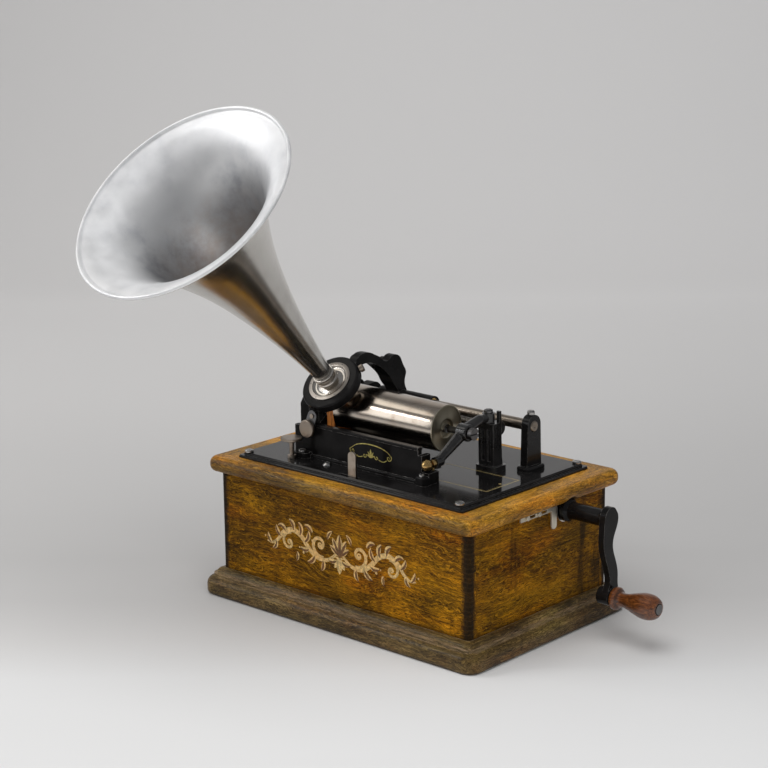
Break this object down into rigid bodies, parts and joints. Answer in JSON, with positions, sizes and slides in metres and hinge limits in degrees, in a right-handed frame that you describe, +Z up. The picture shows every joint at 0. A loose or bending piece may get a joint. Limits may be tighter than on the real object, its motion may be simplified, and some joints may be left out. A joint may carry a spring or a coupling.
{
  "type": "wind-up cylinder phonograph",
  "caption": "Spring-driven cylinder phonograph: oak case with moulded plinth, iron bedplate, tapered mandrel, travelling reproducer carriage, flared horn and side crank.",
  "frame": {"origin": "on the surface the case stands on, below the middle of the bedplate (1.9 mm to the right of and 2.2 mm in front of the middle of the case)", "axes": "+X to the right along the front of the case, parallel to the mandrel; +Y to the back; +Z up"},
  "size_m": [0.4135, 0.4041, 0.4637],
  "materials": {
    "oak_panel": "quarter-sawn golden oak, varnished",
    "oak_moulding": "fumed oak, varnished",
    "softwood": "plain sawn, unfinished",
    "black_enamel": "glossy black japanning on cast iron",
    "nickel": "nickel plate, lightly brushed",
    "steel": "machined steel",
    "aluminium": "spun and polished sheet",
    "brass": "polished brass",
    "leather": "flat leather belt",
    "rubber": "soft gasket rubber",
    "turned_wood": "turned and stained hardwood, varnished",
    "diaphragm": "thin copper sheet",
    "bronze": "dull bronze bush"
  },
  "bodies": {
    "machine": {"back_board": "oak_panel", "front_board": "oak_panel", "left_board": "oak_panel", "right_board": "oak_panel", "bottom_board": "softwood", "base_moulding": "oak_moulding", "top_moulding": "oak_moulding", "corner_blocks": "softwood", "bedplate": "black_enamel", "plate_screws": "nickel", "motor_screws": "nickel", "upper_casting": "black_enamel", "gear_guard": "black_enamel", "gear_studs": "steel", "drive_belt": "leather", "back_rod": "nickel", "right_rod_post": "black_enamel", "gate_post": "black_enamel", "gate_hinge_pin": "steel", "motor_plates": "steel", "motor_pillars": "steel", "crank_escutcheon": "nickel", "lid_lock_screws": "nickel"},
    "mandrel_unit": {"mandrel": "nickel", "mandrel_shaft": "steel"},
    "idler": {"idler_gear": "brass"},
    "feed": {"feed_screw": "steel"},
    "pulley": {"pulley_arbor": "steel", "motor_pulley": "steel"},
    "intermediate": {"intermediate_arbor": "steel"},
    "barrel": {"spring_barrel": "steel", "barrel_cover": "steel", "mainspring": "steel"},
    "winding_spindle": {"winding_arbor": "steel"},
    "crank": {"winding_shaft": "steel", "crank_arm": "black_enamel", "handle_pin": "nickel"},
    "handle": {"crank_handle": "turned_wood"},
    "pawl": {"ratchet_pawl": "steel"},
    "governor": {"governor_spindle": "steel", "governor_weights": "brass"},
    "speed_brake": {"speed_brake_lever": "steel"},
    "speed_knob": {"speed_screw": "nickel"},
    "start_stop": {"start_stop_bar": "nickel"},
    "lid_slide": {"lid_lock": "nickel"},
    "slider": {"sleeve_bushing": "bronze"},
    "carriage": {"carriage_arm": "black_enamel", "carriage_screws": "nickel", "feed_nut": "brass", "reproducer_body": "nickel", "diaphragm": "diaphragm", "diaphragm_gaskets": "rubber"},
    "lifter": {"lift_lever": "steel", "lift_lever_knob": "nickel"},
    "weight": {"floating_weight": "brass"},
    "collar": {"horn_collar": "nickel"},
    "horn_body": {"horn": "aluminium"},
    "gate": {"gate_arm": "black_enamel", "centre_screw": "steel"},
    "latch": {"gate_latch": "brass"}
  },
  "joints": [
    {"name": "mandrel_spin", "type": "hinge", "parent": "machine", "child": "mandrel_unit", "pos_m": [0, -0.0138, 0.1775], "axis": [1, 0, 0], "continuous": true},
    {"name": "idler_spin", "type": "hinge", "parent": "machine", "child": "idler", "pos_m": [-0.0945, 0.00037, 0.17201], "axis": [1, 0, 0], "continuous": true},
    {"name": "feed_screw_spin", "type": "hinge", "parent": "machine", "child": "feed", "pos_m": [0, 0.0225, 0.1755], "axis": [1, 0, 0], "continuous": true},
    {"name": "pulley_spin", "type": "hinge", "parent": "machine", "child": "pulley", "pos_m": [-0.06, -0.0138, 0.09199], "axis": [1, 0, 0], "continuous": true},
    {"name": "intermediate_spin", "type": "hinge", "parent": "machine", "child": "intermediate", "pos_m": [0, -0.035, 0.07076], "axis": [1, 0, 0], "continuous": true},
    {"name": "barrel_spin", "type": "hinge", "parent": "machine", "child": "barrel", "pos_m": [0, 0.012, 0.08462], "axis": [1, 0, 0], "continuous": true},
    {"name": "governor_spin", "type": "hinge", "parent": "machine", "child": "governor", "pos_m": [-0.09, -0.0218, 0.06936], "axis": [1, 0, 0], "continuous": true},
    {"name": "crank_turn", "type": "hinge", "parent": "machine", "child": "crank", "pos_m": [0.15, 0.035, 0.111], "axis": [1, 0, 0], "continuous": true},
    {"name": "winding_spindle_spin", "type": "hinge", "parent": "machine", "child": "winding_spindle", "pos_m": [0, 0.012, 0.08462], "axis": [1, 0, 0], "continuous": true},
    {"name": "handle_spin", "type": "hinge", "parent": "crank", "child": "handle", "pos_m": [0.225, 0.038, 0.04], "axis": [1, 0, 0], "continuous": true},
    {"name": "pawl_lift", "type": "hinge", "parent": "machine", "child": "pawl", "pos_m": [0.064, 0.022, 0.125], "axis": [1, 0, 0], "range_deg": [0, 12]},
    {"name": "speed_screw_turn", "type": "hinge", "parent": "machine", "child": "speed_knob", "pos_m": [-0.0812, -0.0712, 0.157], "axis": [0, 0, 1], "range_deg": [-180, 180]},
    {"name": "speed_brake_rock", "type": "hinge", "parent": "machine", "child": "speed_brake", "pos_m": [-0.092, -0.048, 0.106], "axis": [0, 1, 0], "range_deg": [-1.5, 1.5]},
    {"name": "start_stop_slide", "type": "slide", "parent": "machine", "child": "start_stop", "axis": [1, 0, 0], "range_m": [-0.008, 0]},
    {"name": "lid_lock_slide", "type": "slide", "parent": "machine", "child": "lid_slide", "axis": [0, 1, 0], "range_m": [-0.01, 0]},
    {"name": "carriage_travel", "type": "slide", "parent": "machine", "child": "slider", "axis": [1, 0, 0], "range_m": [0, 0.1]},
    {"name": "carriage_lift", "type": "hinge", "parent": "slider", "child": "carriage", "pos_m": [-0.06, 0.0394, 0.178], "axis": [-1, 0, 0], "range_deg": [0, 60]},
    {"name": "lift_lever_turn", "type": "hinge", "parent": "carriage", "child": "lifter", "pos_m": [-0.0645, -0.06, 0.1782], "axis": [0, 1, 0], "range_deg": [0, 45]},
    {"name": "weight_float", "type": "hinge", "parent": "carriage", "child": "weight", "pos_m": [-0.06, -0.02218, 0.21276], "axis": [1, 0, 0], "range_deg": [0, 4]},
    {"name": "horn_turn", "type": "hinge", "parent": "carriage", "child": "collar", "pos_m": [-0.06, -0.0422, 0.2073], "axis": [0, -0.6794, 0.7337], "continuous": true},
    {"name": "horn_lift_off", "type": "slide", "parent": "collar", "child": "horn_body", "axis": [0, -0.6794, 0.7337], "range_m": [0, 0.04]},
    {"name": "gate_swing", "type": "hinge", "parent": "machine", "child": "gate", "pos_m": [0.079, 0.014, 0.18], "axis": [0, 0, 1], "range_deg": [0, 80]},
    {"name": "latch_turn", "type": "hinge", "parent": "gate", "child": "latch", "pos_m": [0.0682, -0.05, 0.1555], "axis": [0, 1, 0], "range_deg": [0, 40]}
  ],
  "couplings": [
    {"joint": "idler_spin", "follows": "mandrel_spin", "ratio": -0.9},
    {"joint": "feed_screw_spin", "follows": "mandrel_spin", "ratio": 0.5},
    {"joint": "pulley_spin", "follows": "mandrel_spin", "ratio": 1},
    {"joint": "intermediate_spin", "follows": "mandrel_spin", "ratio": -0.25},
    {"joint": "barrel_spin", "follows": "mandrel_spin", "ratio": 0.041667},
    {"joint": "governor_spin", "follows": "mandrel_spin", "ratio": -4},
    {"joint": "winding_spindle_spin", "follows": "crank_turn", "ratio": -0.33333},
    {"joint": "speed_brake_rock", "follows": "speed_screw_turn", "ratio": 0.008}
  ]
}
